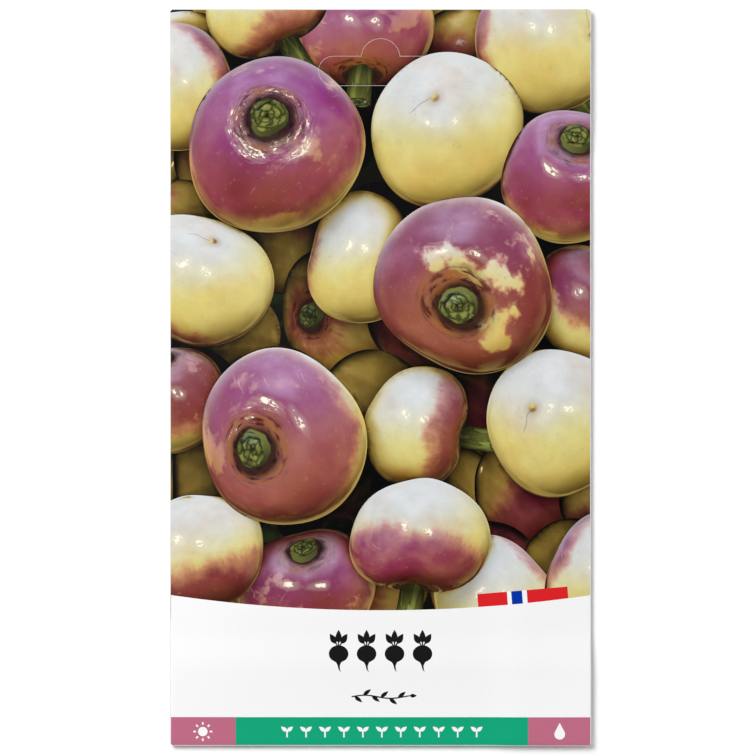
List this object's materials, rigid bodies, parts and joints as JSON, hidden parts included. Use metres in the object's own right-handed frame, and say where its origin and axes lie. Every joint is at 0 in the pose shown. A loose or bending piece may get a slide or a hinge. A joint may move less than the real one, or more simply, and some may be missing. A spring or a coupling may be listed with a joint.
{
  "type": "seed packet",
  "caption": "Flat paper seed packet: a folded and glued blank with a perforated hang slot, loose seeds inside and a printed heap of turnips on its front.",
  "frame": {"origin": "middle of the packet's outline, on the surface that its back lies on", "axes": "+Z out of the printed front, +Y to the top fold with the hang slot, +X to the right of the printed front"},
  "size_m": [0.08, 0.14, 0.0032],
  "materials": {
    "printed_paper": "satin",
    "glue": "satin",
    "seed_coat": "matte"
  },
  "bodies": {
    "root": {"paper_packet": "printed_paper", "side_seam_glue": "glue", "top_flap_glue": "glue", "bottom_flap_glue": "glue", "pocket_seal_glue": "glue", "seeds": "seed_coat"}
  },
  "joints": []
}
